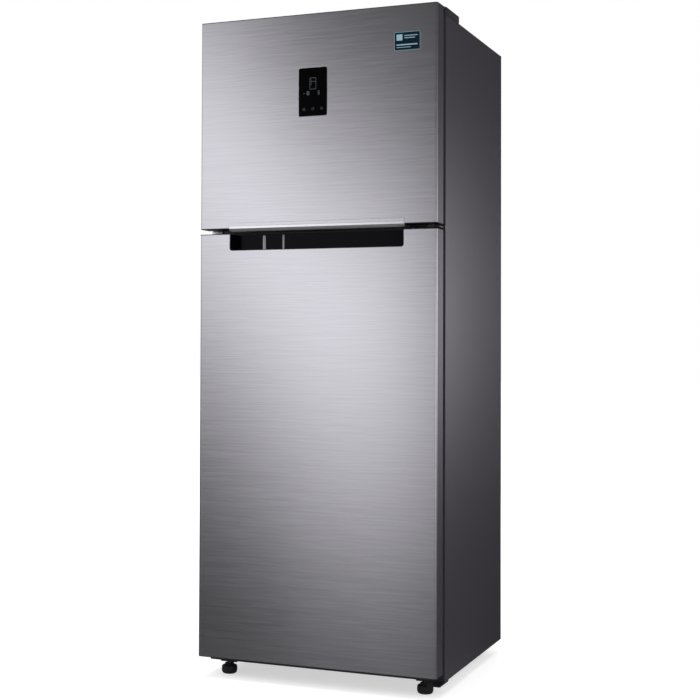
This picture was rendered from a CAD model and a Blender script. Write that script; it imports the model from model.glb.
from math import copysign, cos, log, pi, radians, sin

import bmesh
import bpy
from mathutils import Matrix, Vector


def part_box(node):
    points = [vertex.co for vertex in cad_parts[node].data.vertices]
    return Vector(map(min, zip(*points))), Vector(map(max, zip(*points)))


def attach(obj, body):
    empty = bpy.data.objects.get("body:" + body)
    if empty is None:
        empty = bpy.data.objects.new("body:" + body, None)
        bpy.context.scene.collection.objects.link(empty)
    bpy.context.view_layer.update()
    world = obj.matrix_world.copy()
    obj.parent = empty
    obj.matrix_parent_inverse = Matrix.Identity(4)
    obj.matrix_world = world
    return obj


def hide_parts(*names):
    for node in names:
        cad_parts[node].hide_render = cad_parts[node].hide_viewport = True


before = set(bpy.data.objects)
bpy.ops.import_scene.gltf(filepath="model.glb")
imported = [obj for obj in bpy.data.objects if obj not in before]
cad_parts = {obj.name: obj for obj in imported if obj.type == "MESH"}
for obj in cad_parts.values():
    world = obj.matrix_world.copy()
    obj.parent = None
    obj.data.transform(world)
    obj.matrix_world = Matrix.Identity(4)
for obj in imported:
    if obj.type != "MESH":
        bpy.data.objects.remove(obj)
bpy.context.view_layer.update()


# ---------------------------------------------------------------- Camera
# A long lens at chest height, in front and to the right, looking level at the doors.
# The lens is shifted to frame the appliance while the camera stays nearly level.
camera_data = bpy.data.cameras.new("camera")
camera_data.lens, camera_data.sensor_width = 71.95, 36.0
camera_data.shift_x, camera_data.shift_y = 0.094, -0.051
camera_data.clip_end = 60.0
camera = bpy.data.objects.new("camera", camera_data)
bpy.context.scene.collection.objects.link(camera)
bpy.context.scene.camera = camera
bpy.context.scene.view_settings.view_transform = "Standard"
turn, tilt, roll = (radians(a) for a in (22.95, 1.23, 0.24))
camera.matrix_world = (
    Matrix.Translation((1.374, -3.782, 0.911))
    @ Matrix.Rotation(turn, 4, "Z")
    @ Matrix.Rotation(pi / 2 + tilt, 4, "X")
    @ Matrix.Rotation(roll, 4, "Z")
)


# ---------------------------------------------------------------- Studio floor
# A seamless pale paper floor that runs to the horizon. It is lifted nearly to white for
# the eye, and keeps the appliance's soft shadow round the feet.
class Wire:
    """A node's output, with Python arithmetic that adds Math nodes."""

    def __init__(self, tree, socket):
        self.tree, self.socket = tree, socket

    def math(self, operation, *others):
        return self.tree.add("Math", dict(enumerate((self, *others))), operation=operation)

    def __add__(self, other):
        return self.math("ADD", other)

    def __sub__(self, other):
        return self.math("SUBTRACT", other)

    def __mul__(self, other):
        return self.math("MULTIPLY", other)

    def __truediv__(self, other):
        return self.math("DIVIDE", other)

    def __rsub__(self, other):
        return self.tree.add("Math", {0: other, 1: self}, operation="SUBTRACT")

    __radd__ = __add__
    __rmul__ = __mul__

    def clamp(self, low, high):
        return self.math("MAXIMUM", low).math("MINIMUM", high)

    def step(self, low, high, out_low=0.0, out_high=1.0):
        """Smooth rise from out_low to out_high as the value goes from low to high."""
        ends = {0: self, 1: low, 2: high, 3: out_low, 4: out_high}
        return self.tree.add("MapRange", ends, interpolation_type="SMOOTHSTEP")


class Tree:
    """A node tree; add() makes any node from its type, socket values and settings."""

    FAMILY = "ShaderNode"

    def __init__(self, nodes_of):
        self.tree = nodes_of

    def add(self, kind, sockets=None, out=0, **settings):
        node = self.tree.nodes.new(self.FAMILY + kind)
        for key, value in settings.items():
            setattr(node, key, value)
        for key, value in (sockets or {}).items():
            socket = node.inputs[key]
            if isinstance(value, Wire):
                self.tree.links.new(value.socket, socket)
            elif isinstance(value, tuple) and socket.type == "RGBA":
                socket.default_value = (*value, 1.0)
            else:
                socket.default_value = value
        return Wire(self, node.outputs[out]) if node.outputs else node


def new_material(name):
    """Empty material and its tree."""
    material = bpy.data.materials.new(name)
    material.use_nodes = True
    material.node_tree.nodes.clear()
    return material, Tree(material.node_tree)


def seen_by_mirrors(tree):
    """1 on camera, glossy and transmission rays."""
    names = "Is Camera Ray", "Is Glossy Ray", "Is Transmission Ray"
    eye, mirror, pane = (tree.add("LightPath", out=name) for name in names)
    return eye.math("MAXIMUM", mirror).math("MAXIMUM", pane)


def mesh_piece(name, bm, material=None):
    """Turns a bmesh into a linked object."""
    mesh = bpy.data.meshes.new(name)
    bm.to_mesh(mesh)
    bm.free()
    piece = bpy.data.objects.new(name, mesh)
    bpy.context.scene.collection.objects.link(piece)
    if material:
        mesh.materials.append(material)
    return piece


WHITE = (1.0, 1.0, 1.0)
floor_material, tree = new_material("studio_floor")
paper = tree.add("BsdfDiffuse", {"Color": (0.70, 0.70, 0.70)})
place = tree.add("TexCoord", out="Object")
away = tree.add("VectorMath", {0: place}, out="Value", operation="LENGTH")
strength = seen_by_mirrors(tree) * away.step(0.6, 4.0, 0.56, 0.80)
lift = tree.add("Emission", {"Color": WHITE, "Strength": strength})
both = tree.add("AddShader", {0: paper, 1: lift})
tree.add("OutputMaterial", {"Surface": both})
bm = bmesh.new()
bmesh.ops.create_grid(bm, x_segments=8, y_segments=8, size=30.0)
mesh_piece("floor", bm, floor_material)


# ---------------------------------------------------------------- Studio light
# White surroundings for the eye and for mirrors, and a weaker level of the same white on
# the object. Four big soft boxes give it an even, plain light.
world = bpy.data.worlds.new("studio")
bpy.context.scene.world = world
world.use_nodes = True
world.node_tree.nodes.clear()
tree = Tree(world.node_tree)
strength = seen_by_mirrors(tree).step(0.0, 1.0, 0.42, 1.0)
surround = tree.add("Background", {"Color": WHITE, "Strength": strength})
tree.add("OutputWorld", {"Surface": surround})


def soft_box(name, place, aim, size, watts):
    """Large area lamp; the card below stands for it in reflections."""
    data = bpy.data.lights.new(name, "AREA")
    data.shape = "RECTANGLE"
    data.size, data.size_y = size
    data.energy = watts
    lamp = bpy.data.objects.new(name, data)
    bpy.context.scene.collection.objects.link(lamp)
    lamp.location = place
    lamp.rotation_mode = "QUATERNION"
    lamp.rotation_quaternion = (Vector(aim) - Vector(place)).to_track_quat("-Z", "Y")
    lamp.visible_glossy = False


soft_box("key_box", (-2.6, -3.6, 2.9), (0, 0, 1.0), (2.4, 2.4), 95)
soft_box("fill_box", (3.6, -1.8, 2.2), (0, 0, 1.0), (2.0, 2.6), 60)
soft_box("top_box", (0.0, -0.6, 4.6), (0, 0, 0.0), (3.2, 3.2), 90)
soft_box("back_box", (0.0, 4.2, 2.6), (0, 0, 1.0), (3.0, 2.4), 60)


# ---------------------------------------------------------------- Reflection card
# A tall round card that only polished surfaces see: soft boxes glow at the front left, the
# front right and the back, and it is dim elsewhere. The front and the rear half are each
# drawn in degrees about a fixed point of the studio.
FRONT_POINT, REAR_POINT = Vector((1.374, 3.116, 0.911)), Vector((-0.699, -3.782, 0.911))
CARD_RADIUS, CARD_HEIGHT = 7.0, 9.0
BASE_GLOW, CEILING_GLOW, KEY_BEARING = 0.048, 0.22, 21.7


def hump(value, centre, below, above):
    """Bell curve with its own half width on each side."""
    away = value - centre
    width = away.math("LESS_THAN", 0.0) * (below - above) + above
    ratio = away / width
    return (ratio * ratio * -log(2.0)).math("EXPONENT")


card_material, tree = new_material("reflection_card")
place = tree.add("TexCoord", out="Object")
axes = [tree.add("SeparateXYZ", {0: place}, out=i) for i in range(3)]


def heading(point, ahead):
    """Bearing and height angle in degrees of the card, as seen from a fixed point."""
    dx = axes[0] - point.x
    dy = (axes[1] - point.y) * ahead
    far = (dx * dx + dy * dy).math("SQRT")
    height = (axes[2] - point.z).math("ARCTAN2", far)
    return dx.math("ARCTAN2", dy) * (180 / pi), height * (180 / pi)


bearing, height = heading(FRONT_POINT, -1.0)
left = -1.0 * bearing
over = left - KEY_BEARING
middle = 2.2 + over.clamp(0.0, 5.0) * 1.3 + over.clamp(-6.0, 0.0) * 0.35
key = left.step(14.4, 19.8, 0.20, 1.40) * left.step(23.6, 37.0, 1.0, 0.5)
second = left.step(11.5, -1.0, 0.0, 0.80)
front_glow = (key + second) * hump(height, middle, 7.2, 5.25) + BASE_GLOW
front_glow += height.step(-15.0, -10.0, 0.05, 0.0)
front_glow += height.step(18.0, 45.0, 0.0, CEILING_GLOW)
bearing, height = heading(REAR_POINT, 1.0)
band = ((bearing.math("MINIMUM", 18.1) - 16.2) * 0.88).math("EXPONENT")
band *= bearing.step(21.5, 34.0, 0.34, 0.10)
rear = bearing.step(6.0, -16.0, 0.0, 0.85) * hump(height, 7.0, 14.0, 22.0)
rear_glow = rear + band * hump(height, 1.5, 4.8, 4.8) + bearing.step(12.5, 17.5, 0.03, 0.087)
rear_glow += height.step(18.0, 45.0, 0.0, CEILING_GLOW)
behind = axes[1].step(-0.4, 0.6)
level = behind * rear_glow + (1 - behind) * front_glow
cool_white = {"Color": (0.985, 0.965, 1.03), "Strength": level}
glow = tree.add("Emission", cool_white)
tree.add("OutputMaterial", {"Surface": glow})
bm = bmesh.new()
reach = {"radius1": CARD_RADIUS, "radius2": CARD_RADIUS, "depth": CARD_HEIGHT}
bmesh.ops.create_cone(bm, cap_ends=True, segments=96, **reach)
bmesh.ops.translate(bm, verts=bm.verts, vec=(0, 0, CARD_HEIGHT / 2 + 0.002))
card = mesh_piece("reflection_card", bm, card_material)
for ray in ("camera", "diffuse", "transmission", "shadow"):
    setattr(card, f"visible_{ray}", False)


# ---------------------------------------------------------------- Cabinet shell
# One strip of prepainted steel folded over both sides and the roof, satin dark grey,
# with its front edges turned in. A fine orange peel breaks up the gloss.
def coat(tree, material, sockets):
    """Principled surface from socket values, put on the material."""
    surface = tree.add("BsdfPrincipled", sockets)
    tree.add("OutputMaterial", {"Surface": surface})
    return material


def shaded(tree, colour, scale):
    """Colour times a scale that a texture drives."""
    return tree.add("VectorMath", {0: colour, "Scale": scale}, operation="SCALE")


def finish(name, colour, rough, tone=0.06, grain=60.0, relief=0.0, detail=4.0, **sockets):
    """Principled surface whose tone, gloss and height follow one noise."""
    material, tree = new_material(name)
    place = tree.add("TexCoord", out="Object")
    scale = grain if isinstance(grain, tuple) else (grain, grain, grain)
    spread = tree.add("Mapping", {"Vector": place, "Scale": scale})
    noise = {"Vector": spread, "Scale": 1.0, "Detail": detail, "Roughness": 0.62}
    grains = tree.add("TexNoise", noise)
    sockets = {name.replace("_", " "): value for name, value in sockets.items()}
    if relief:
        bump = {"Distance": relief, "Height": grains}
        sockets["Normal"] = tree.add("Bump", bump)
    sockets["Base Color"] = shaded(tree, colour, grains.step(0.25, 0.75, 1 - tone, 1 + tone))
    sockets["Roughness"] = grains.step(0.2, 0.8, rough * 0.88, rough * 1.14)
    return coat(tree, material, sockets)


def dress(material, *nodes):
    """Gives a finish to solids that keep their own shape."""
    for node in nodes:
        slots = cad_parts[node].data.materials
        slots.clear()
        slots.append(material)


grey_paint = finish("grey_paint", (0.034, 0.031, 0.038), 0.16, 0.07, 700.0, 0.00003)
dress(grey_paint, "cabinet_shell", "freezer_door_sides", "fridge_door_sides")


# ---------------------------------------------------------------- Foam
# Cream polyurethane, foamed in place between the steel and the liners of cabinet and doors,
# where it sets hard and glues them together.
foam = finish("foam", (0.78, 0.66, 0.38), 0.9, 0.14, 240.0, 0.0012, 6.0)
dress(foam, "cabinet_foam", "freezer_door_foam", "fridge_door_foam")


# ---------------------------------------------------------------- Rear panel
# Galvanised sheet with its frosty zinc spangle, stiffened by pressed beads and held by
# flange screws. It folds forward over the machine room.
def galvanised(name, colour, rough):
    """Zinc coat: flat crystals of a few millimetres, each with its own tone and gloss."""
    material, tree = new_material(name)
    place = tree.add("TexCoord", out="Object")
    noise = {"Vector": place, "Scale": 120.0}
    warp = tree.add("TexNoise", noise, out="Color")
    mix = {"Factor": 0.012, 4: place, 5: warp}
    bent = tree.add("Mix", mix, out=1, data_type="VECTOR")
    cells = {"Vector": bent, "Scale": 130.0}
    crystal = tree.add("TexVoronoi", cells, out="Color")
    value = tree.add("SeparateXYZ", {0: crystal})
    sockets = {"Base Color": shaded(tree, colour, value.step(0.0, 1.0, 0.90, 1.06))}
    sockets["Roughness"] = value.step(0.0, 1.0, rough * 0.9, rough * 1.15)
    return coat(tree, material, sockets | {"Metallic": 0.9})


def point_on(axis, u, v, level):
    """Point at (u, v) on the plane at a level across an axis."""
    places = {"x": (level, u, v), "y": (u, level, v), "z": (u, v, level)}
    return Vector(places[axis])


def rounded(axis, low, high, radius, level, inset=0.0):
    """Ring of points round a rectangle with round corners, drawn in by an inset."""
    ring, reach = [], radius + inset
    for right, top, start in ((1, 1, 0), (0, 1, 90), (0, 0, 180), (1, 0, 270)):
        u = high[0] - reach if right else low[0] + reach
        v = high[1] - reach if top else low[1] + reach
        for k in range(7):
            angle = radians(start + 15 * k)
            across, up = radius * cos(angle), radius * sin(angle)
            ring.append(point_on(axis, u + across, v + up, level))
    return ring


def soften(mesh):
    """Smooth shading with the real edges kept crisp."""
    mesh.shade_smooth()
    mesh.set_sharp_from_angle(angle=radians(32))


def settle(piece):
    """Keeps the result of a piece's modifiers as its plain mesh."""
    made = piece.evaluated_get(bpy.context.evaluated_depsgraph_get())
    mesh = bpy.data.meshes.new_from_object(made)
    piece.modifiers.clear()
    piece.data = mesh
    soften(mesh)
    return piece


def thicken(piece, thickness):
    """Gives a sheet its thickness on the inner side."""
    wall = piece.modifiers.new("wall", "SOLIDIFY")
    wall.thickness, wall.offset = thickness, -1
    return settle(piece)


def loft(name, rings, material=None, endless=False):
    """Closed skin over rings of points that all have the same count."""
    bm = bmesh.new()
    rows = [[bm.verts.new(point) for point in ring] for ring in rings]
    for lower, upper in zip(rows, rows[1:] + rows[:endless]):
        for i, corner in enumerate(lower):
            j = (i + 1) % len(lower)
            bm.faces.new((corner, lower[j], upper[j], upper[i]))
    if not endless:
        bm.faces.new(reversed(rows[0]))
        bm.faces.new(rows[-1])
    bmesh.ops.recalc_face_normals(bm, faces=bm.faces)
    piece = mesh_piece(name, bm, material)
    soften(piece.data)
    return piece


def rings_of(axis, low, high, corner, profile, least=0.0005):
    """Rings of a round-cornered rectangle for the (inset, level) points of a profile."""
    return [
        rounded(axis, low, high, max(corner - inset, least), level, inset)
        for inset, level in profile
    ]


def fillet(radius, steps=3):
    """Quarter turn as (distance in from the side, distance in from the face)."""
    angles = [radians(90 * k / steps) for k in range(steps + 1)]
    return [(radius * (1 - sin(a)), radius * (1 - cos(a))) for a in angles]


def slab(name, axis, low, high, levels, corner, edge, material=None):
    """Plate with round corners and softened edges, between two levels across an axis."""
    least, turn = edge * 0.2, fillet(edge)
    profile = [(inset, levels[0] + rise) for inset, rise in turn]
    profile += [(inset, levels[1] - rise) for inset, rise in reversed(turn)]
    rings = rings_of(axis, low, high, corner, profile, least)
    if min(high[0] - low[0], high[1] - low[1]) > 3 * edge + 0.003:
        flat = max(corner - edge, least), edge + 0.0006
        first, last = (rounded(axis, low, high, flat[0], level, flat[1]) for level in levels)
        rings = [first, *rings, last]
    return loft(name, rings, material)


def fit(piece, body, slot, *stands_for):
    """Fixes a piece on its body, under its finish, in place of plain solids."""
    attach(piece, body)
    if stands_for:
        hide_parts(*stands_for)


zinc_sheet = galvanised("zinc_sheet", (0.56, 0.57, 0.58), 0.42)
dress(zinc_sheet, "base_plate", "machine_tray")
panel_low, panel_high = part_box("rear_panel")
cover_low, cover_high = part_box("control_board_cover")
bead_pitch, bead_half, bead_rise = 0.118, 0.007, 0.0009
fold_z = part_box("machine_cover")[1].z


def bead(z, x):
    """Rise of the pressed beads over the flat sheet."""
    reach = min(1.0, max(0.0, (panel_high.x - 0.045 - abs(x)) / 0.010))
    off = abs((z - fold_z - 0.06) % bead_pitch - bead_pitch / 2) / bead_half
    return bead_rise * reach * 0.5 * (1 + cos(pi * min(off, 1.0)))


columns = [c * panel_high.x for c in (-1, -0.905, -0.885, -0.865, -0.6)] + [cover_low.x, 0.0]
columns += [-x for x in reversed(columns[:-1])]
rows = [fold_z + (panel_high.z - fold_z) * k / 520 for k in range(521)]
bm = bmesh.new()
flat_y = panel_high.y - bead_rise
net = {(x, z): bm.verts.new((x, flat_y + bead(z, x), z)) for z in rows for x in columns}
for z, z_next in zip(rows, rows[1:]):
    for x, x_next in zip(columns, columns[1:]):
        middle_x, middle_z = (x + x_next) / 2, (z + z_next) / 2
        if abs(middle_x) >= cover_high.x or not cover_low.z < middle_z < cover_high.z:
            bm.faces.new((net[x, z], net[x, z_next], net[x_next, z_next], net[x_next, z]))
bmesh.ops.delete(bm, geom=[v for v in bm.verts if not v.link_faces], context="VERTS")
rear_sheet = thicken(mesh_piece("rear_sheet", bm, zinc_sheet), 0.0007)
fit(rear_sheet, "cabinet", "back_sheet", "rear_panel")
side_x, low_y, high_y = panel_high.x - 0.001, panel_low.y, panel_high.y - 0.002
for name, back, levels in (
    ("machine_roof", high_y, (fold_z, fold_z + 0.001)),
    ("machine_front", low_y + 0.001, (panel_low.z, fold_z)),
):
    wall = slab(name, "z", (-side_x, low_y), (side_x, back), levels, 0.0004, 0.0002, zinc_sheet)
    fit(wall, "cabinet", "back_sheet", "rear_panel")


# ---------------------------------------------------------------- Rear fixings
# Zinc-plated screws with a cross recess hold the rear sheet and its covers. They are set
# out by one pattern tree, which also lays out the fins, shelves, cups and ridges further on.
class Recipe(Tree):
    """Geometry Nodes tree with named sizes; cast() turns it into a plain mesh."""

    FAMILY = "GeometryNode"
    KINDS = {int: "Int", float: "Float", tuple: "Vector", bpy.types.Object: "Object"}

    def __init__(self, name, **sizes):
        super().__init__(bpy.data.node_groups.new(name, "GeometryNodeTree"))
        panel = self.tree.interface
        for flow in ("INPUT", "OUTPUT"):
            panel.new_socket("Geometry", in_out=flow, socket_type="NodeSocketGeometry")
        self.keys = {}
        for label, value in sizes.items():
            kind = value if value is bpy.types.Object else type(value)
            socket_type = "NodeSocket" + self.KINDS[kind]
            socket = panel.new_socket(label, in_out="INPUT", socket_type=socket_type)
            if kind is not bpy.types.Object:
                socket.default_value = value
            self.keys[label] = socket.identifier
        self.entry = self.tree.nodes.new("NodeGroupInput")

    def __getitem__(self, label):
        return Wire(self, self.entry.outputs[label])

    def serve(self, geometry):
        real = self.add("RealizeInstances", {0: geometry})
        self.coat = self.add("SetMaterial", {0: real})
        self.tree.links.new(self.coat.socket, self.tree.nodes.new("NodeGroupOutput").inputs[0])

    def cast(self, name, material, plan=None, **sizes):
        """Runs the tree on a plan of points and edges, and keeps a plain mesh."""
        self.coat.socket.node.inputs["Material"].default_value = material
        piece = mesh_piece(name, plan or bmesh.new())
        step = piece.modifiers.new("recipe", "NODES")
        step.node_group = self.tree
        for label, value in sizes.items():
            step[self.keys[label]] = value
        return settle(piece)


ORIGIN = (0.0, 0.0, 0.0)
sizes = {"count_a": 1, "step_a": ORIGIN, "count_b": 1, "step_b": ORIGIN, "turn": ORIGIN}
pattern = Recipe("pattern", part=bpy.types.Object, start=ORIGIN, **sizes)
rows = []
for row, extra in (("a", {"Start Location": pattern["start"]}), ("b", {})):
    line = {"Count": pattern[f"count_{row}"], "Offset": pattern[f"step_{row}"]} | extra
    rows.append(pattern.add("MeshLine", line, mode="OFFSET"))
grid = {"Points": rows[0], "Instance": rows[1]}
places = pattern.add("InstanceOnPoints", grid)
places = pattern.add("RealizeInstances", {0: places})
model = {"Object": pattern["part"]}
model = pattern.add("ObjectInfo", model, out="Geometry")
copies = {"Points": places, "Instance": model, "Rotation": pattern["turn"]}
pattern.serve(pattern.add("InstanceOnPoints", copies))


def repeat(name, material, part, start, *rows, turn=ORIGIN):
    """Copies of a part over rows of (count, step), as one mesh; the loose part goes."""
    sizes = {}
    for letter, (count, step) in zip("ab", rows):
        sizes |= {f"count_{letter}": count, f"step_{letter}": step}
    piece = pattern.cast(name, material, part=part, start=start, turn=turn, **sizes)
    bpy.data.objects.remove(part)
    return piece


def spin_ring(radius, level, count=32, shape=None):
    """Ring of points round the Z axis; shape() may scale the radius by the angle."""
    angles = [2 * pi * k / count for k in range(count)]
    radii = [radius * (shape(a) if shape else 1.0) for a in angles]
    return [Vector((r * cos(a), r * sin(a), level)) for r, a in zip(radii, angles)]


def turned(name, axis, centre, profile, material=None, count=32, endless=False):
    """Turning about an axis, from (radius, level) or (radius, level, shape) points."""
    rings = []
    for radius, level, *shape in profile:
        ring = spin_ring(radius, 0.0, count, *shape)
        rings.append([Vector(centre) + point_on(axis, p.x, p.y, level) for p in ring])
    return loft(name, rings, material, endless)


def wire_section(radius, level, across, along):
    """Six points round the section of a hoop."""
    angles = [radians(60 * k) for k in range(6)]
    return [(radius + across * cos(a), level + along * sin(a)) for a in angles]


def cross(angle, arm=0.62, half=0.14):
    """Outline of a cross recess: four arms of a given length and half width."""
    along, aside = sorted((abs(cos(angle)), abs(sin(angle))), reverse=True)
    return min(arm / along, half / max(aside, 1e-6))


def screw(radius=0.0040, height=0.0021):
    """Pan head standing on z = 0, with its recess."""
    dome = [(radius * cos(a) ** 0.5, height * sin(a)) for a in (0.5, 0.9, 1.2)]
    recess = [(radius, height, cross), (radius, height * 0.35, cross)]
    return turned("screw", "z", ORIGIN, [(radius, 0.0), *dome, *recess])


TO_REAR, TO_FRONT = (-pi / 2, 0.0, 0.0), (pi / 2, 0.0, 0.0)
zinc = finish("zinc_plate", (0.50, 0.50, 0.49), 0.28, 0.10, 260.0, Metallic=1.0)
rear_face = panel_high.y - 0.0021
edge_x = panel_high.x - 0.012
start = -edge_x, rear_face, fold_z + 0.03
up, across = (0.0, 0.0, (panel_high.z - fold_z - 0.05) / 6), (2 * edge_x, 0.0, 0.0)
screws = repeat("rear_edge_screws", zinc, screw(), start, (7, up), (2, across), turn=TO_REAR)
fit(screws, "cabinet", "zinc_screw")
for name, inset, node in (
    ("board_cover_screws", 0.012, "control_board_cover"),
    ("machine_cover_screws", 0.016, "machine_cover"),
):
    low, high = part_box(node)
    start = low.x + inset, rear_face, low.z + inset
    across = high.x - low.x - 2 * inset, 0.0, 0.0
    up = 0.0, 0.0, high.z - low.z - 2 * inset
    head = screw(0.0036, 0.0019)
    screws = repeat(name, zinc, head, start, (2, across), (2, up), turn=TO_REAR)
    fit(screws, "cabinet", "zinc_screw")


# ---------------------------------------------------------------- Mullion between the rooms
# Light grey painted strip across the cabinet front, with a moulded plug over its spare
# hinge seat.
light_paint = finish("light_grey_paint", (0.80, 0.79, 0.80), 0.34, 0.04, 600.0, 0.00003)
dress(light_paint, "rail_plug")
rail_paint = finish("rail_paint", (0.20, 0.195, 0.205), 0.36, 0.05, 600.0, 0.00003)
dress(rail_paint, "centre_rail")


# ---------------------------------------------------------------- Compressor
# Drawn steel can in two halves, welded round the middle and dipped in black paint, on four
# rubber mounts in the galvanised tray.
can_paint = finish("can_paint", (0.014, 0.014, 0.015), 0.22, 0.2, 160.0, 0.00015, Coat_Weight=0.4)
dress(can_paint, "compressor")
can_low, can_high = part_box("compressor")
can_x, can_y = can_low.x + 0.080, (can_low.y + can_high.y) / 2
can_radius = (can_high.y - can_low.y) / 2
weld_z = can_low.z + 0.086
section = wire_section(can_radius + 0.0006, weld_z, 0.0016, 0.0022)
weld = turned("can_weld", "z", (can_x, can_y, 0.0), section, can_paint, 64, endless=True)
fit(weld, "cabinet", "black_steel")
rubber = finish("rubber", (0.022, 0.022, 0.023), 0.75, 0.2, 420.0, 0.0001)
dress(rubber, "compressor_mounts")


# ---------------------------------------------------------------- Condenser and its fan
# Steel tube coil pressed through thin aluminium fins, with a five-bladed fan beside it on a
# moulded bracket. The drain pan sits over the warm can.
grain = 500.0, 30.0, 500.0
fin_metal = finish("fin_metal", (0.60, 0.61, 0.62), 0.34, 0.08, grain, 0.00004, Metallic=1.0)
dress(fin_metal, "condenser_coil", "freezer_evaporator")
coil_low, coil_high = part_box("condenser_coil")
FIN_PITCH, FIN_COUNT = 0.0048, 40
low = coil_low.y + 0.004, coil_low.z + 0.003
high = coil_high.y - 0.004, coil_high.z - 0.004
fin = slab("fin", "x", low, high, (0.0, 0.0004), 0.003, 0.0001)
start, pitch = (coil_low.x + 0.007, 0.0, 0.0), (FIN_PITCH, 0.0, 0.0)
fit(repeat("condenser_fins", fin_metal, fin, start, (FIN_COUNT, pitch)), "cabinet", "coil_steel")
black = 0.020, 0.020, 0.022
dark_mould = finish("dark_moulding", black, 0.5, 0.12, 900.0, 0.00005, Specular_IOR_Level=0.3)
dress(dark_mould, "condenser_fan_bracket", "condenser_fan", "freezer_fan", "machine_cover")
pale_mould = finish("pale_moulding", (0.74, 0.74, 0.72), 0.42, 0.04, 700.0, 0.00004)
dress(pale_mould, "drain_pan")


# ---------------------------------------------------------------- Refrigerant tubes
# Soft copper, bent by hand on easy radii: discharge tube from the can to the coil, and the
# suction tube with its filter drier. A second tree sweeps a section along a filleted path.
sweep = Recipe("sweep", section=bpy.types.Object, bend=0.01)
path = sweep.add("MeshToCurve", {"Mesh": sweep["Geometry"]})
bent = {"Curve": path, "Radius": sweep["bend"], "Count": 6, "Limit Radius": True}
bent = sweep.add("FilletCurve", bent, mode="POLY")
model = {"Object": sweep["section"]}
outline = sweep.add("ObjectInfo", model, out="Geometry")
outline = sweep.add("MeshToCurve", {"Mesh": outline})
tube = {"Curve": bent, "Profile Curve": outline, "Fill Caps": True}
sweep.serve(sweep.add("CurveToMesh", tube))


def wire_loop(points, closed):
    """Mesh of edges through points, for a path or a section."""
    bm = bmesh.new()
    corners = [bm.verts.new(p) for p in points]
    for a, b in zip(corners, corners[1:] + corners[: int(closed)]):
        bm.edges.new((a, b))
    return bm


copper = finish("copper", (0.62, 0.27, 0.13), 0.30, 0.16, 90.0, 0.00005, Metallic=1.0)
tube_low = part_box("refrigerant_pipes")[0]


def copper_tube(name, points):
    """Thin tube along straight runs and filleted bends."""
    outline = mesh_piece("section", wire_loop(spin_ring(0.003, 0.0, 12), True))
    plan = wire_loop(points, False)
    piece = sweep.cast(name, copper, plan, section=outline, bend=0.012)
    bpy.data.objects.remove(outline)
    bm = bmesh.new()
    bm.from_mesh(piece.data)
    bmesh.ops.remove_doubles(bm, verts=bm.verts, dist=1e-6)
    bmesh.ops.recalc_face_normals(bm, faces=bm.faces)
    bm.to_mesh(piece.data)
    bm.free()
    fit(piece, "cabinet", "copper", "refrigerant_pipes")


coil_z = coil_high.z - 0.0165
bay_y, row_y = panel_low.y + 0.012, panel_low.y + 0.043
discharge = [
    (can_x - can_radius + 0.004, can_y, weld_z),
    (0.020, can_y, weld_z),
    (0.020, bay_y, weld_z),
    (-0.070, bay_y, weld_z),
    (-0.070, row_y, weld_z),
    (-0.070, row_y, coil_z),
    (coil_low.x + 0.204, row_y, coil_z),
]
copper_tube("discharge_tube", discharge)
dry_z, dry_y = fold_z - 0.020, panel_low.y + 0.010
copper_tube("suction_tube", [(tube_low.x + 0.078, dry_y, dry_z), (0.060, dry_y, dry_z)])
profile = (0.002, 0.0), (0.0075, 0.006), (0.0075, 0.072), (0.0031, 0.079)
drier = turned("filter_drier", "x", (tube_low.x, dry_y, dry_z), profile, copper, 24)
fit(drier, "cabinet", "copper", "refrigerant_pipes")


# ---------------------------------------------------------------- Control board
# Fibreglass board with copper tracks under green lacquer, behind its own cover of
# galvanised sheet, which screws to the rear panel.
dress(zinc_sheet, "control_board_cover")
lacquer, tree = new_material("board_lacquer")
tracks = {"Vector": tree.add("TexCoord", out="Object"), "Scale": 60.0}
tracks |= {"Color1": (0.012, 0.10, 0.035), "Color2": (0.02, 0.15, 0.05)}
tracks |= {"Mortar": (0.10, 0.20, 0.07), "Mortar Size": 0.03}
tracks |= {"Brick Width": 0.8, "Row Height": 0.11}
lacquered = tree.add("TexBrick", tracks, out="Color")
dress(coat(tree, lacquer, {"Base Color": lacquered, "Roughness": 0.35}), "control_board")


# ---------------------------------------------------------------- Hinges and their cover
# Pressed steel arms with riveted pins that turn in moulded bushes of the doors. The roof arm
# is zinc plated under a moulded cover with soft top edges, the centre and bottom brackets
# are black, and cross-head screws hold all three.
def tub(name, axis, low, high, rim, base, wall, corner, edge, material=None, lean=0.0):
    """Open moulding from a rim to a closed base, with a wall thickness and round edges."""
    up, height = (1, rim - base) if rim > base else (-1, base - rim)
    inner, top = max(edge - wall, 0.0008), wall / 2
    profile = [(wall + inner + 0.0008, wall)]
    profile += [(wall + inset, wall + rise) for inset, rise in fillet(inner)]
    for angle in (180, 150, 120, 60, 30, 0):
        across, rise = top * cos(radians(angle)), top * sin(radians(angle))
        profile.append((top - across, height - top + rise))
    profile += [*reversed(fillet(edge)), (edge + 0.0008, 0.0)]
    rings = []
    for inset, rise in profile:
        radius, shrink = max(corner - inset, 0.0006), inset + lean * (1 - rise / height)
        rings.append(rounded(axis, low, high, radius, base + up * rise, shrink))
    return loft(name, rings, material)


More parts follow.
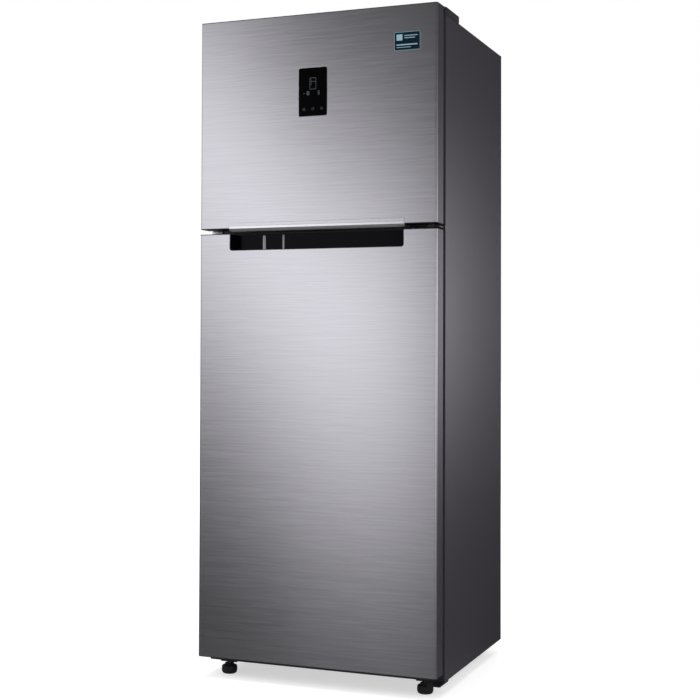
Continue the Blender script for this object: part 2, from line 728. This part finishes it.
black = 0.016, 0.016, 0.017
hinge_black = finish("hinge_black", black, 0.32, 0.12, 300.0, 0.00006, Metallic=0.3)
dress(hinge_black, "centre_hinge", "bottom_hinge", "leg_brackets")
dress(zinc, "top_hinge")
dress(pale_mould, "freezer_door_bushes", "fridge_door_bushes")
arm_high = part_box("top_hinge")[1]
roof_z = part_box("cabinet_shell")[1].z
pin_x = arm_high.x + 0.006 - 0.026
hood_low, hood_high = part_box("top_hinge_cover")
step_y = hood_high.y - 0.126
low, high = (hood_low.x, step_y), (hood_high.x, hood_high.y)
levels = roof_z, hood_high.z
hood = tub("hinge_hood", "z", low, high, *levels, 0.0015, 0.006, 0.0035, dark_mould)
fit(hood, "cabinet", "dark_plastic", "top_hinge_cover")
low, high = (pin_x - 0.040, hood_low.y), (hood_high.x - 0.003, step_y + 0.003)
levels = arm_high.z - 0.0026, arm_high.z + 0.0013
hood = tub("pin_hood", "z", low, high, *levels, 0.0009, 0.010, 0.0012, dark_mould)
fit(hood, "cabinet", "dark_plastic", "top_hinge_cover")
seam_low, seam_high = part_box("centre_hinge")
case_y, seam_z = seam_high.y, (seam_low.z + seam_high.z) / 2
once = 1, ORIGIN
for name, start, across, deep, turn in (
    (
        "roof_hinge_screws",
        (pin_x - 0.040, case_y + 0.040, roof_z + 0.0025),
        (2, (0.044, 0.0, 0.0)),
        (2, (0.0, 0.038, 0.0)),
        ORIGIN,
    ),
    (
        "centre_hinge_screws",
        (pin_x - 0.0615, case_y - 0.003, seam_z),
        (2, (0.0545, 0.0, 0.0)),
        once,
        TO_FRONT,
    ),
    (
        "bottom_hinge_screw",
        (pin_x + 0.012, step_y + 0.020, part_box("bottom_hinge")[0].z),
        once,
        once,
        (pi, 0.0, 0.0),
    ),
):
    screws = repeat(name, zinc, screw(0.0045, 0.0024), start, across, deep, turn=turn)
    fit(screws, "cabinet", "zinc_screw", "hinge_screws")


# ---------------------------------------------------------------- Feet
# Two moulded pads, grooved for the fingers, with a hexagon for a spanner, each on a zinc
# plated threaded stud that screws into its bracket.
def hexagon(angle):
    return cos(pi / 6) / cos(angle % (pi / 3) - pi / 6)


def grips(angle):
    return 1 - 0.018 * (0.5 + 0.5 * cos(18 * angle)) ** 2


PAD = [(0.0130, 0.0), (0.0160, 0.0004), (0.0186, 0.0020), (0.0206, 0.0052)]
PAD += [(0.0215, 0.0090, grips), (0.0215, 0.0185, grips), (0.0202, 0.0216), (0.0180, 0.0232)]
PAD += [(0.0150, 0.0237), (0.0140, 0.0238, hexagon), (0.0140, 0.0280, hexagon), (0.0118, 0.0286)]
THREAD_PITCH, THREAD_START = 0.00125, 0.0284
for name in ("leg_left", "leg_right"):
    low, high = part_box(name)
    centre = (low.x + high.x) / 2, (low.y + high.y) / 2, low.z
    pad = turned(f"{name}_pad", "z", centre, PAD, dark_mould, 144)
    fit(pad, name, "dark_plastic", name)
    profile = [(0.0044, THREAD_START)]
    for k in range(int((high.z - low.z - THREAD_START - 0.001) / THREAD_PITCH)):
        profile.append((0.0044, THREAD_START + THREAD_PITCH * (k + 0.3)))
        profile.append((0.0050, THREAD_START + THREAD_PITCH * (k + 0.8)))
    profile.append((0.0042, high.z - low.z))
    fit(turned(f"{name}_stud", "z", centre, profile, zinc, 24), name, "zinc_screw", name)


# ---------------------------------------------------------------- Rollers
# Forked galvanised brackets under the back corners of the base, with riveted axles that
# carry pale moulded wheels.
dress(zinc_sheet, "roller_brackets")
dress(pale_mould, "roller_left", "roller_right")


# ---------------------------------------------------------------- Freezer room
# Vacuum-formed white liner. A moulded wall hides the evaporator and a guard of concentric
# hoops covers its fan. The glass shelf is pressed into a moulded front rail.
liner_white = finish("liner_white", (0.80, 0.81, 0.81), 0.26, 0.02, 900.0, 0.00003)
dress(liner_white, "freezer_liner", "freezer_duct_cover")
glass = finish("shelf_glass", (0.60, 0.78, 0.75), 0.05, 0.02, Alpha=0.34)
clear = finish("clear_plastic", (0.80, 0.87, 0.90), 0.14, 0.02, Alpha=0.30)


def shelf(name, node, count, pitch):
    """Panes with softened edges and their front rails, at equal heights."""
    low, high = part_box(node)
    levels = low.z + 0.008, low.z + 0.012
    pane = slab("pane", "z", (low.x, low.y + 0.0122), high[:2], levels, 0.004, 0.0008)
    ends = low.x + 0.001, high.x - 0.001
    rail = slab("rail", "x", low[1:], (low.y + 0.012, low.z + 0.018), ends, 0.004, 0.0018)
    row = count, (0.0, 0.0, pitch)
    fit(repeat(f"{name}_glass", glass, pane, ORIGIN, row), "cabinet", "shelf_glass", node)
    fit(repeat(f"{name}_rail", liner_white, rail, ORIGIN, row), "cabinet", "white_liner", node)


fan_low, fan_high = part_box("freezer_fan")
guard_y, guard_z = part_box("freezer_duct_cover")[0].y + 0.0015, (fan_low.z + fan_high.z) / 2
for radius in (0.0468, 0.0360, 0.0250, 0.0140):
    name, section = f"fan_guard_{radius * 1000:.0f}", wire_section(radius, 0.0, 0.0012, 0.0012)
    ring = turned(name, "y", (0.0, guard_y, guard_z), section, liner_white, 64, endless=True)
    fit(ring, "cabinet", "white_liner")
levels = guard_y - 0.0006, guard_y + 0.0010
for name, x, z in (("fan_guard_upright", 0.0011, 0.0470), ("fan_guard_bar", 0.0470, 0.0011)):
    low, high = (-x, guard_z - z), (x, guard_z + z)
    spoke = slab(name, "y", low, high, levels, 0.0008, 0.0004, liner_white)
    fit(spoke, "cabinet", "white_liner")
shelf("freezer_shelf", "freezer_shelf", 1, 0.0)


# ---------------------------------------------------------------- Ice maker
# Two rows of thin clear cups, moulded as one tray that twists on its pivots in a clear
# frame when its knob is turned.
dress(clear, "ice_maker_frame")
tray_low, tray_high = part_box("ice_tray")
ice_x, ice_z = (tray_low.x + tray_high.x) / 2, tray_low.z + 0.017
tray_y = tray_low.y + 0.024
low, high = (-0.0194, -0.0222), (0.0194, 0.0222)
cup = tub("cup", "z", low, high, 0.0145, -0.0165, 0.0012, 0.008, 0.006, lean=0.003)
start = ice_x - 0.0196, tray_y + 0.0250, ice_z
cups = repeat("ice_cups", clear, cup, start, (2, (0.0392, 0.0, 0.0)), (4, (0.0, 0.046, 0.0)))
low, high = (ice_x - 0.042, tray_y), (ice_x + 0.042, tray_high.y - 0.008)
band = [(0.0, -0.0168), (0.0, 0.0146), (0.0004, 0.0150)]
band += [(0.0014, 0.0150), (0.0018, 0.0146), (0.0018, -0.0168)]
band = [rounded("z", low, high, 0.006, ice_z + z, inset) for inset, z in band]
band = loft("ice_tray_band", band, clear, endless=True)
profile = [(0.0, 0.0146), (0.0012, 0.0158), (0.0138, 0.0160), (0.0150, 0.0150)]
profile += [(0.0151, 0.0060), (0.0245, 0.0060)]
profile = [(radius, y, grips) for y, radius in profile]
knob = turned("ice_knob", "y", (ice_x, tray_low.y, ice_z), profile, clear, 90)
profile = (0.0060, -0.0085), (0.0060, 0.0)
pivot = turned("ice_pivot", "y", (ice_x, tray_high.y, ice_z), profile, clear)
for piece in (cups, band, knob, pivot):
    fit(piece, "ice_tray", "clear_bin", "ice_tray")


# ---------------------------------------------------------------- Fridge room
# Three glass shelves on ledges formed in the liner, and a glass cover with a front bar over
# the crisper drawer, a clear moulding with a bar handle that slides on its floor.
dress(liner_white, "fridge_liner", "fridge_duct_cover")
shelf("fridge_shelf", "fridge_shelves", 3, 0.210)
low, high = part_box("crisper_cover")
levels = low.z + 0.008, low.z + 0.013
front = low.x, low.y + 0.0122
pane = slab("crisper_glass", "z", front, high[:2], levels, 0.003, 0.0008, glass)
fit(pane, "cabinet", "shelf_glass", "crisper_cover")
top, ends = (low.y + 0.012, high.z), (low.x, high.x)
front = slab("crisper_bar", "x", low[1:], top, ends, 0.004, 0.002, liner_white)
fit(front, "cabinet", "white_liner", "crisper_cover")
low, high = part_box("crisper_drawer")
front = low.x, low.y + 0.008
box = tub("crisper_box", "z", front, high[:2], high.z, low.z, 0.003, 0.012, 0.008, clear)
fit(box, "crisper_drawer", "clear_bin", "crisper_drawer")
levels, ends = (high.z - 0.036, high.z - 0.016), ((-0.070, low.y), (0.070, low.y + 0.0085))
handle = slab("crisper_handle", "z", *ends, levels, 0.004, 0.003, liner_white)
fit(handle, "crisper_drawer", "clear_bin", "crisper_drawer")
slider_blue = finish("slider_blue", (0.05, 0.20, 0.42), 0.25, 0.03)
low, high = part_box("humidity_slider")
ends, levels = (low.xz, high.xz), (low.y + 0.0015, high.y)
base = slab("slider_base", "y", *ends, levels, 0.002, 0.0008, slider_blue)
fit(base, "humidity_slider", "slider_blue", "humidity_slider")
ends, levels = ((-0.0006, low.z + 0.002), (0.0006, high.z - 0.002)), (low.y, low.y + 0.002)
rib = slab("rib", "y", *ends, levels, 0.0005, 0.0003)
ribs = repeat("slider_ribs", slider_blue, rib, (-0.008, 0.0, 0.0), (5, (0.004, 0.0, 0.0)))
fit(ribs, "humidity_slider", "slider_blue", "humidity_slider")


# ---------------------------------------------------------------- Door skins
# Brushed stainless sheet, 0.7 mm, folded round the upright edges of each door. The upper one
# has the display opening, the lower one the mouth of the handle pocket, with rolled edges.
def brushed_steel(name, colour, rough):
    """Fine horizontal brushing: streaks about 2 mm high and up to 120 mm long."""
    material, tree = new_material(name)
    place = tree.add("TexCoord", out="Object")
    stretch = {"Vector": place, "Scale": (8.0, 8.0, 470.0)}
    stretched = tree.add("Mapping", stretch)
    streaks = {"Vector": stretched, "Scale": 1.0, "Detail": 4.0, "Roughness": 0.65}
    grain = tree.add("TexNoise", streaks)
    bump = {"Strength": 0.001, "Distance": 0.0005, "Height": grain}
    sockets = {
        "Base Color": shaded(tree, colour, grain.step(0.36, 0.64, 0.938, 1.045)),
        "Metallic": 1.0,
        "Roughness": grain.step(0.2, 0.8, rough - 0.012, rough + 0.022),
        "Anisotropic": 0.5,
        "Anisotropic Rotation": 0.25,
        "Normal": tree.add("Bump", bump),
    }
    return coat(tree, material, sockets)


def strip(bm, *rows, closed=False):
    """Faces between rows of corners."""
    for near, far in zip(rows, rows[1:]):
        for i in range(len(near) - (not closed)):
            j = (i + 1) % len(near)
            bm.faces.new((near[i], near[j], far[j], far[i]))


def corners_of(bm, points):
    return [bm.verts.new(p) for p in points]


def folded_sides(bm, low, high, fold=0.0045, depth=0.007):
    """Carries a sheet round its upright edges; returns the rows where its face begins."""
    edges = []
    for sign, x in ((-1, low.x), (1, high.x)):
        turns = [(fold + 0.0004, 0.0), *fillet(fold, 8), (0.0, depth)]
        turns = [(x - sign * inset, low.y + back) for inset, back in turns]
        rows = [corners_of(bm, ((x, y, low.z), (x, y, high.z))) for x, y in turns]
        strip(bm, *rows)
        edges.append(rows[0])
    return edges


def lip_rows(low, high, corner, level, roll):
    """Rings from the flat sheet round a rolled edge and into an opening."""
    rings = [rounded("y", low, high, corner, level, -0.0004)]
    for k in range(5):
        angle = radians(90 * k / 4)
        inset, back = roll * sin(angle), roll * (1 - cos(angle))
        rings.append(rounded("y", low, high, max(corner - inset, 0.0005), level + back, inset))
    return rings + [[p + Vector((0, 0.0016, 0)) for p in rings[-1]]]


def open_rows(bm, rings, top):
    """Skin over rings that stay open above: down one side, round the foot and up again."""
    rows = []
    for ring in rings:
        foot = ring[len(ring) // 2 :]
        first, last = (Vector((foot[k].x, foot[k].y, top)) for k in (0, -1))
        rows.append(corners_of(bm, [first, *foot, last]))
    strip(bm, *rows)
    return rows


def face_front(bm):
    """Turns the faces of an open skin towards the front."""
    bmesh.ops.recalc_face_normals(bm, faces=bm.faces)
    if sum(f.normal.y * f.calc_area() for f in bm.faces) > 0:
        bmesh.ops.reverse_faces(bm, faces=bm.faces)
    return bm


steel = brushed_steel("door_steel", (0.63, 0.63, 0.64), 0.20)
upper_low, upper_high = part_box("freezer_door_skin")
glass_low, glass_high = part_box("display_glass")
bm = bmesh.new()
left_edge, right_edge = folded_sides(bm, upper_low, upper_high)
low, high = (p + Vector((s, 0.0, s)) for p, s in ((glass_low, -0.0012), (glass_high, 0.0012)))
rings = lip_rows(low.xz, high.xz, 0.0057, upper_low.y, 0.0009)
lips = [corners_of(bm, ring) for ring in rings]
strip(bm, *lips, closed=True)
middle = (glass_low.x + glass_high.x) / 2
ends = [(middle, upper_low.y, z) for z in (upper_low.z, upper_high.z)]
foot, head = corners_of(bm, ends)
mouth, quarter = lips[0], len(lips[0]) // 4
right_rim, left_rim = mouth[3 * quarter :] + mouth[:quarter], mouth[quarter : 3 * quarter]
bm.faces.new([left_edge[0], foot] + left_rim[::-1] + [head, left_edge[1]])
bm.faces.new([foot, right_edge[0], right_edge[1], head] + right_rim[::-1])
bm.faces.new((foot, right_rim[0], left_rim[-1]))
bm.faces.new((head, left_rim[0], right_rim[-1]))
skin = thicken(mesh_piece("freezer_door_front", face_front(bm), steel), 0.0007)
fit(skin, "freezer_door", "steel_front", "freezer_door_skin")

lower_low, lower_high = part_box("fridge_door_skin")
trim_low, trim_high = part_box("handle_trim")
mouth_x, mouth_z = trim_high.x - 0.002, lower_high.z + 0.002 - 0.0464
bm = bmesh.new()
left_edge, right_edge = folded_sides(bm, lower_low, lower_high)
tall = (-mouth_x, mouth_z), (mouth_x, lower_high.z + 0.1)
rims = open_rows(bm, lip_rows(*tall, 0.008, lower_low.y, 0.0015), lower_high.z)
bm.faces.new([left_edge[1], left_edge[0], *right_edge, *rims[0][::-1]])
skin = thicken(mesh_piece("fridge_door_front", face_front(bm), steel), 0.0007)
fit(skin, "fridge_door", "steel_front", "fridge_door_skin")


# ---------------------------------------------------------------- Door end caps
# Dark moulded caps close the door ends. The lower door's top cap carries the handle pocket:
# a glossy trough with rounded inner corners, two low satin ribs and a thin rear lip.
dress(dark_mould, "freezer_door_caps")
cap_low, cap_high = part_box("fridge_door_caps")
black = 0.002, 0.002, 0.003
gloss = finish("pocket_gloss", black, 0.12, 0.1, 300.0, 0.00001, Specular_IOR_Level=0.06)
front, back, brim = lower_low.y + 0.003, lower_low.y + 0.039, lower_high.z + 0.002
rings = [
    rounded("y", (inset - mouth_x, mouth_z - drop), (mouth_x - inset, brim + 0.1), corner, y)
    for inset, drop, corner, y in (
        (0.0018, -0.0018, 0.0065, lower_low.y + 0.0012),
        (0.0018, -0.0018, 0.0065, front),
        (0.0, 0.0060, 0.010, front + 0.0006),
        (0.0, 0.0135, 0.010, front + 0.0040),
        (0.0, 0.0155, 0.010, front + 0.0120),
        (0.002, 0.0155, 0.010, back - 0.0080),
        (0.002, 0.0135, 0.010, back - 0.0030),
        (0.002, 0.0090, 0.010, back - 0.0005),
    )
]
rings.append([p + Vector((-copysign(0.004, p.x), 0.0, 0.004)) for p in rings[-1]])
bm = bmesh.new()
bm.faces.new(open_rows(bm, rings, brim)[-1])
pocket = thicken(mesh_piece("handle_pocket", face_front(bm), gloss), 0.0016)
fit(pocket, "fridge_door", "gloss_black", "fridge_door_caps")
door_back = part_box("fridge_door_sides")[1].y
grain = 200.0, 200.0, 40.0
rib_grey = finish("rib_satin", (0.42, 0.42, 0.44), 0.30, 0.05, grain, Metallic=0.7)
for name, x, half in (("wide", -0.162, 0.0046), ("narrow", -0.1055, 0.0030)):
    ends = (x - half, mouth_z - 0.010), (x + half, brim - 0.002)
    levels = back - 0.0024, back
    rib = slab(f"pocket_rib_{name}", "y", *ends, levels, half, 0.0020, rib_grey)
    fit(rib, "fridge_door", "gloss_black")
side = upper_high.x
rings = []
for rise, inset in ((0.0, 0.0005), (0.0005, 0.0), (0.0015, 0.0), (0.002, 0.0005)):
    ends = (-side, lower_low.y), (side, door_back + 0.003)
    ring = rounded("z", *ends, 0.0045, cap_low.z + rise)
    ring = [Vector((p.x * (1 - inset / side), min(p.y + inset, door_back), p.z)) for p in ring]
    rings.append(ring)
caps = [loft("fridge_door_foot_cap", rings, dark_mould)]
for name, low, high in (
    ("left", (-side, lower_low.y), (-mouth_x, door_back)),
    ("right", (mouth_x, lower_low.y), (side, door_back)),
    ("back", (-mouth_x, back), (mouth_x, door_back)),
):
    levels = brim - 0.002, brim
    caps.append(slab(f"head_cap_{name}", "z", low, high, levels, 0.0004, 0.0003, dark_mould))
ends = (-mouth_x - 0.002, brim - 0.001), (mouth_x + 0.002, cap_high.z)
levels = back, back + 0.002
caps.append(slab("pocket_lip", "y", *ends, levels, 0.0008, 0.0007, dark_mould))
for cap in caps:
    fit(cap, "fridge_door", "dark_plastic", "fridge_door_caps")


# ---------------------------------------------------------------- Handle trim
# Extruded aluminium strip along the foot of the upper door, bright anodised, with rounded
# corners and an angled grip under it for the fingers. Its face carries nothing.
grain = 9.0, 9.0, 500.0
bright = finish("bright_anodised", (0.86, 0.86, 0.87), 0.22, 0.03, grain, 0.00002, Metallic=1.0)
satin = finish("satin_anodised", (0.80, 0.80, 0.81), 0.28, 0.03, grain, 0.00002, Metallic=1.0)
grain = 12.0, 300.0, 300.0
grip_grey = finish("grip_grey", (0.40, 0.39, 0.40), 0.34, 0.06, grain, 0.00002, Metallic=0.6)
low_x, low_y, low_z = trim_low
ends, levels = ((low_x, low_z + 0.0005), trim_high.xz), (low_y + 0.0004, low_y + 0.0014)
face = slab("trim_face", "y", *ends, levels, 0.0030, 0.0004, satin)
ends = (low_x + 0.0010, low_z + 0.0008), (trim_high.x - 0.0010, low_z + 0.0080)
ridge = slab("trim_ridge", "y", *ends, (low_y, low_y + 0.0010), 0.0020, 0.0004, bright)
section = [(0.0002, 0.0006), (0.0012, 0.0012), (0.0075, -0.0052), (0.0082, -0.0062)]
section += [(0.0072, -0.0066), (0.0060, -0.0060)]
stations = [(low_x + 0.001, 0.55), (low_x + 0.003, 0.9), (low_x + 0.008, 1.0)]
stations += [(low_x + trim_high.x - x, scale) for x, scale in reversed(stations)]
rings = [[Vector((x, low_y + y * s, low_z + z * s)) for y, z in section] for x, s in stations]
for piece in (face, ridge, loft("trim_grip", rings, grip_grey)):
    fit(piece, "freezer_door", "bright_trim", "handle_trim")


# ---------------------------------------------------------------- Display
# Touch glass in a thin bevelled frame, with plain seven-segment figures for the two rooms,
# an outline of a two-door cabinet and three touch marks. It holds no words.
black = 0.0012, 0.0012, 0.0015
glass_black = finish("display_black", black, 0.06, 0.1, 200.0, Specular_IOR_Level=0.03)
ends = glass_low.xz, glass_high.xz
levels = glass_low.y, glass_low.y + 0.010
touch_glass = slab("touch_glass", "y", *ends, levels, 0.0045, 0.0005, glass_black)
fit(touch_glass, "freezer_door", "black_glass", "display_glass")
bevel = [(0.0001, 0.0004), (0.0004, -0.0001), (0.0010, -0.0001)]
bevel += [(0.0013, 0.0004), (0.0013, 0.0030), (0.0001, 0.0030)]
bevel = [(-grow, glass_low.y + depth) for grow, depth in bevel]
bevel = loft("display_bevel", rings_of("y", *ends, 0.0045, bevel), bright, endless=True)
fit(bevel, "freezer_door", "bright_trim")

glow, tree = new_material("display_print")
print_colour = {"Base Color": (0.09, 0.105, 0.115), "Roughness": 0.4}
coat(tree, glow, print_colour | {"Emission Color": (0.55, 0.72, 0.85), "Emission Strength": 0.02})
SEGMENTS = {"3": "abcdg", "1": "bc", "8": "abcdefg", "-": "g"}
ENDS = {"a": "0212", "b": "1211", "c": "1110", "d": "0010", "e": "0100", "f": "0201", "g": "0111"}
FIGURE_WIDTH, FIGURE_HALF, FIGURE_PITCH = 0.0042, 0.0046, 0.0062
print_y = glass_low.y - 0.00014
bm = bmesh.new()


def bar(x0, z0, x1, z1, half):
    """Flat printed line with pointed ends, a hair above the glass."""
    start, end = Vector((x0, print_y, z0)), Vector((x1, print_y, z1))
    along = (end - start).normalized() * half
    aside = Vector((-along.z, 0.0, along.x))
    outline = [start, start + along + aside, end - along + aside]
    outline += [end, end - along - aside, start + along - aside]
    rear = corners_of(bm, outline)
    front = corners_of(bm, [p + Vector((0.0, 0.00012, 0.0)) for p in outline])
    bm.faces.new(rear)
    bm.faces.new(front[::-1])
    strip(bm, front, rear, closed=True)


centre_x, high_z = (glass_low.x + glass_high.x) / 2, glass_high.z
for text, right_x in (("-18", centre_x - 0.009), ("3", centre_x + 0.020)):
    for place, figure in enumerate(reversed(text)):
        x, z = right_x - FIGURE_PITCH * (place + 1), high_z - 0.072
        for name in SEGMENTS[figure]:
            xa, za, xb, zb = (int(c) for c in ENDS[name])
            start = x + FIGURE_WIDTH * xa, z + FIGURE_HALF * za
            bar(*start, x + FIGURE_WIDTH * xb, z + FIGURE_HALF * zb, 0.0005)
left_x, right_x = centre_x - 0.0085, centre_x + 0.0085
top_z, foot_z = high_z - 0.027, high_z - 0.057
split_z, grip_x = top_z - 0.010, left_x + 0.003
turns = [(left_x, top_z), (right_x, top_z), (right_x, foot_z), (left_x, foot_z), (left_x, top_z)]
lines = [(*a, *b) for a, b in zip(turns, turns[1:])]
lines.append((left_x, split_z, right_x, split_z))
lines.append((grip_x, split_z + 0.002, grip_x, split_z + 0.007))
lines.append((grip_x, split_z - 0.010, grip_x, split_z - 0.003))
for line in lines:
    bar(*line, 0.00035)
for k in range(3):
    x, z = centre_x + 0.025 * (k - 1), high_z - 0.110
    points = [(x + p.x, z + p.y) for p in spin_ring(0.0034, 0.0, 16)]
    for near, far in zip(points, points[1:] + points[:1]):
        bar(*near, *far, 0.00022)
    bar(x - 0.0014, z, x + 0.0014, z, 0.00025)
    if k != 1:
        bar(x, z - 0.0014, x, z + 0.0014, 0.00025)
bmesh.ops.recalc_face_normals(bm, faces=bm.faces)
fit(mesh_piece("display_print", bm, glow), "freezer_door", "black_glass")


# ---------------------------------------------------------------- Plain label
# A dark blue film with a lighter border, a plain square and plain bands, without words. It
# is stuck on the steel of the upper door.
def flat_film(name, low, high, colour, lift, corner=0.0005):
    film = finish(name, colour, 0.25, 0.03, 200.0, Specular_IOR_Level=0.15)
    levels = upper_low.y - lift, upper_low.y + 0.0001
    film = slab(name, "y", low, high, levels, corner, 0.00004, film)
    fit(film, "freezer_door", "dark_plastic")


border = (0.2215, 1.6753), (0.2920, 1.7235)
flat_film("label_border", *border, (0.16, 0.27, 0.34), 0.00015, 0.001)
field = (0.2227, 1.6765), (0.2908, 1.7223)
flat_film("label_field", *field, (0.003, 0.010, 0.017), 0.00022, 0.001)
x, z = field[0]
for k, (x0, z0, x1, z1) in enumerate((
    (0.005, 0.025, 0.021, 0.041),
    (0.026, 0.036, 0.062, 0.038),
    (0.026, 0.030, 0.055, 0.032),
    (0.005, 0.012, 0.062, 0.015),
    (0.005, 0.006, 0.044, 0.0075),
)):
    ends = (x + x0, z + z0), (x + x1, z + z1)
    flat_film(f"label_band_{k}", *ends, (0.24, 0.38, 0.43), 0.0003)


# ---------------------------------------------------------------- Door liners and gaskets
# White liner drawn up round the shelves of each door, with drafted walls. The grey magnetic
# gasket sits in its groove all round: a base, a soft neck and a lip that meets the cabinet.
grey = 0.22, 0.22, 0.23
gasket_grey = finish("gasket_grey", grey, 0.55, 0.08, 300.0, 0.00005)
for room, half, z_low, z_high in (
    ("freezer", 0.2695, 1.260, 1.7133),
    ("fridge", 0.280, 0.122, 1.1784),
):
    door, liner, gasket = f"{room}_door", f"{room}_door_liner", f"{room}_door_gasket"
    low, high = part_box(liner)
    face, top = low.y + 0.002, high.y
    flange = (0.0, low.y), (0.0, face - 0.0004), (0.0004, face)
    wall = [(-0.0020, face), (-0.0006, face + 0.0006), (0.0, face + 0.0020)]
    wall += [(0.0010, top - 0.0045), (0.0013, top - 0.0028), (0.0023, top - 0.0013)]
    wall += [(0.0038, top - 0.0003), (0.0055, top)]
    inner = [(0.030 - inset, y) for inset, y in reversed(wall)] + [(0.0326, face)]
    rings = rings_of("y", low.xz, high.xz, 0.008, flange)
    rings += rings_of("y", (-half, z_low), (half, z_high), 0.014, wall)
    rings += rings_of("y", (-half, z_low), (half, z_high), 0.040, inner)
    fit(loft(f"{room}_liner_skin", rings, liner_white), door, "white_liner", liner)
    low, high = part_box(gasket)
    groove, face = low.y, high.y
    section = [(0.001, groove), (0.0, groove + 0.001), (0.0, groove + 0.004)]
    section += [(0.001, groove + 0.005), (0.006, groove + 0.0052), (0.0072, groove + 0.0062)]
    section += [(0.0055, groove + 0.0095), (0.0072, face - 0.006), (0.0035, face - 0.005)]
    section += [(0.002, face - 0.004), (0.002, face - 0.001), (0.003, face)]
    section += [(0.020 - inset, y) for inset, y in reversed(section)]
    rings = rings_of("y", (-high.x, low.z), (high.x, high.z), 0.012, section, 0.002)
    ring = loft(f"{room}_gasket_ring", rings, gasket_grey, endless=True)
    fit(ring, door, "gasket_grey", gasket)


# ---------------------------------------------------------------- Door shelves
# Clear deep bins pressed between the walls of the liner. The top fridge bin has a dairy lid
# that tips up on two pins in the liner.
bins_low, bins_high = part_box("fridge_door_bins")
top_bin = bins_high.z - bins_low.z - 0.060
for room, bins in (
    ("freezer", ((0.0, 0.088), (0.200, 0.088))),
    ("fridge", ((0.0, 0.120), (0.262, 0.088), (0.482, 0.070), (top_bin, 0.060))),
):
    door, node = f"{room}_door", f"{room}_door_bins"
    low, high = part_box(node)
    for k, (start, height) in enumerate(bins, 1):
        base, name = low.z + start, f"{room}_bin_{k}"
        sizes = base + height, base, 0.0025, 0.012, 0.007
        fit(tub(name, "z", low[:2], high[:2], *sizes, clear), door, "clear_bin", node)
low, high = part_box("dairy_lid")
pin_y, lid_z, side = low.y + 0.004, high.z - 0.004, high.x - 0.0045
ends, levels = ((-side, pin_y), (side, high.y)), (lid_z - 0.0015, lid_z + 0.0015)
top = slab("lid_top", "z", *ends, levels, 0.004, 0.001, clear)
ends, levels = ((-side, low.z), (side, lid_z)), (high.y - 0.0025, high.y)
front = slab("lid_front", "y", *ends, levels, 0.006, 0.001, clear)
axle = 0.0, pin_y, lid_z
rod = turned("lid_rod", "x", axle, ((0.004, low.x), (0.004, high.x)), clear)
for piece in (top, front, rod):
    fit(piece, "dairy_lid", "clear_bin", "dairy_lid")
for name, start, stop in (("left", -0.250, -0.246), ("right", 0.246, 0.250)):
    profile = (0.0041, start), (0.0090, start), (0.0088, stop), (0.0041, stop)
    boss = turned(f"lid_boss_{name}", "x", axle, profile, liner_white, endless=True)
    fit(boss, "fridge_door", "white_liner", "fridge_door_liner")
